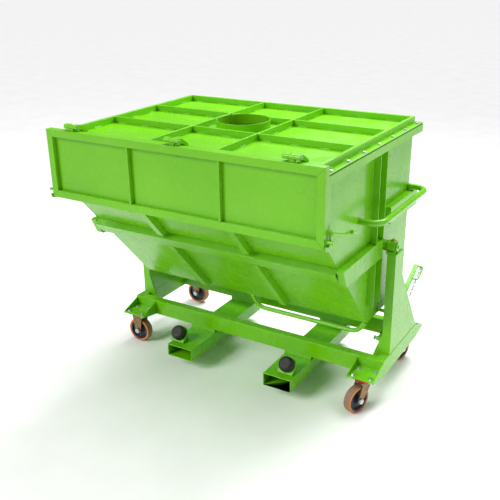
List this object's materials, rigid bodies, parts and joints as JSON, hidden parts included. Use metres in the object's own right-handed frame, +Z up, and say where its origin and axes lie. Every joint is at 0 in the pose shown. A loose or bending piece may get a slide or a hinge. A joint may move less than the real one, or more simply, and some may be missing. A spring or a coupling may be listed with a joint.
{
  "type": "tipping waste container",
  "caption": "Self-tipping waste container on castors: sloped tub on end pivots, bolted lid with filling collar, top-hinged front discharge flap and forklift pockets.",
  "frame": {"origin": "middle of the whole footprint, on the floor", "axes": "+X towards the push handle, -Y towards the discharge flap, +Z up"},
  "size_m": [1.783, 1.3798, 1.585],
  "materials": {
    "green_paint": "gloss",
    "black_rubber": "matte",
    "zinc_fasteners": "bright zinc",
    "yellow_zinc": "yellow zinc",
    "red_plastic": "satin",
    "polyurethane": "satin",
    "wheel_centre": "cast",
    "nipple_cap": "satin"
  },
  "bodies": {
    "base": {"base_frame": "green_paint", "fork_pocket_left": "green_paint", "fork_pocket_right": "green_paint", "spacer_pads": "green_paint", "buffer_brackets": "green_paint", "rubber_buffers": "black_rubber", "castor_brackets": "green_paint", "castor_bolts": "zinc_fasteners", "fixed_forks": "yellow_zinc", "fixed_axles": "zinc_fasteners", "swivel_top_plates": "yellow_zinc", "stanchion_left": "green_paint", "stanchion_right": "green_paint", "pivot_bearings": "green_paint", "grease_nipples": "nipple_cap", "lever_pivot": "green_paint"},
    "tub": {"pivot_shafts": "green_paint", "end_wall_left": "green_paint", "end_wall_right": "green_paint", "slope_plate": "green_paint", "floor_plate": "green_paint", "rear_wall": "green_paint", "rim_frame": "green_paint", "sill_tube": "green_paint", "belts": "green_paint", "end_posts": "green_paint", "corner_posts": "green_paint", "slope_ribs": "green_paint", "push_handle": "green_paint", "tipping_bar": "green_paint", "lid_sheet": "green_paint", "lid_frame": "green_paint", "filling_collar": "green_paint", "lid_seal": "black_rubber", "lid_bolts": "zinc_fasteners", "hinge_brackets": "green_paint", "hinge_pins": "zinc_fasteners", "tub_pins": "green_paint"},
    "flap": {"flap_frame": "green_paint", "flap_panels": "green_paint", "hinge_straps": "green_paint", "keeper_pins": "green_paint"},
    "latch_left": {"latch_left": "green_paint"},
    "latch_right": {"latch_right": "green_paint"},
    "lock_lever": {"lock_lever": "green_paint", "lever_chain": "zinc_fasteners"},
    "wheel_front_left": {"tread_front_left": "polyurethane", "hub_front_left": "wheel_centre"},
    "wheel_rear_left": {"tread_rear_left": "polyurethane", "hub_rear_left": "wheel_centre"},
    "swivel_front_right": {"swivel_fork_front_right": "yellow_zinc", "dust_ring_front_right": "red_plastic", "axle_front_right": "zinc_fasteners"},
    "swivel_rear_right": {"swivel_fork_rear_right": "yellow_zinc", "dust_ring_rear_right": "red_plastic", "axle_rear_right": "zinc_fasteners"},
    "wheel_front_right": {"tread_front_right": "polyurethane", "hub_front_right": "wheel_centre"},
    "wheel_rear_right": {"tread_rear_right": "polyurethane", "hub_rear_right": "wheel_centre"}
  },
  "joints": [
    {"name": "tub_tilt", "type": "hinge", "parent": "base", "child": "tub", "pos_m": [-0.0095, 0.1361, 0.919], "axis": [1, 0, 0], "range_deg": [0, 78]},
    {"name": "flap_swing", "type": "hinge", "parent": "tub", "child": "flap", "pos_m": [-0.0095, -0.6639, 1.573], "axis": [-1, 0, 0], "range_deg": [0, 100]},
    {"name": "latch_left_turn", "type": "hinge", "parent": "tub", "child": "latch_left", "pos_m": [-0.8395, -0.6199, 1.19], "axis": [-1, 0, 0], "range_deg": [0, 18]},
    {"name": "latch_right_turn", "type": "hinge", "parent": "tub", "child": "latch_right", "pos_m": [0.8205, -0.6199, 1.19], "axis": [-1, 0, 0], "range_deg": [0, 18]},
    {"name": "lock_lever_turn", "type": "hinge", "parent": "base", "child": "lock_lever", "pos_m": [0.8015, 0.1201, 0.351], "axis": [1, 0, 0], "range_deg": [0, 10]},
    {"name": "wheel_front_left_roll", "type": "hinge", "parent": "base", "child": "wheel_front_left", "pos_m": [-0.81, -0.0699, 0.08], "axis": [0, 1, 0], "continuous": true},
    {"name": "wheel_rear_left_roll", "type": "hinge", "parent": "base", "child": "wheel_rear_left", "pos_m": [-0.81, 0.6011, 0.08], "axis": [0, 1, 0], "continuous": true},
    {"name": "swivel_front_right_turn", "type": "hinge", "parent": "base", "child": "swivel_front_right", "pos_m": [0.791, -0.0699, 0.18], "axis": [0, 0, 1], "continuous": true},
    {"name": "swivel_rear_right_turn", "type": "hinge", "parent": "base", "child": "swivel_rear_right", "pos_m": [0.791, 0.6011, 0.18], "axis": [0, 0, 1], "continuous": true},
    {"name": "wheel_front_right_roll", "type": "hinge", "parent": "swivel_front_right", "child": "wheel_front_right", "pos_m": [0.77147, -0.12663, 0.08], "axis": [0.9455, -0.3256, 0], "continuous": true},
    {"name": "wheel_rear_right_roll", "type": "hinge", "parent": "swivel_rear_right", "child": "wheel_rear_right", "pos_m": [0.77147, 0.54437, 0.08], "axis": [0.9455, -0.3256, 0], "continuous": true}
  ]
}
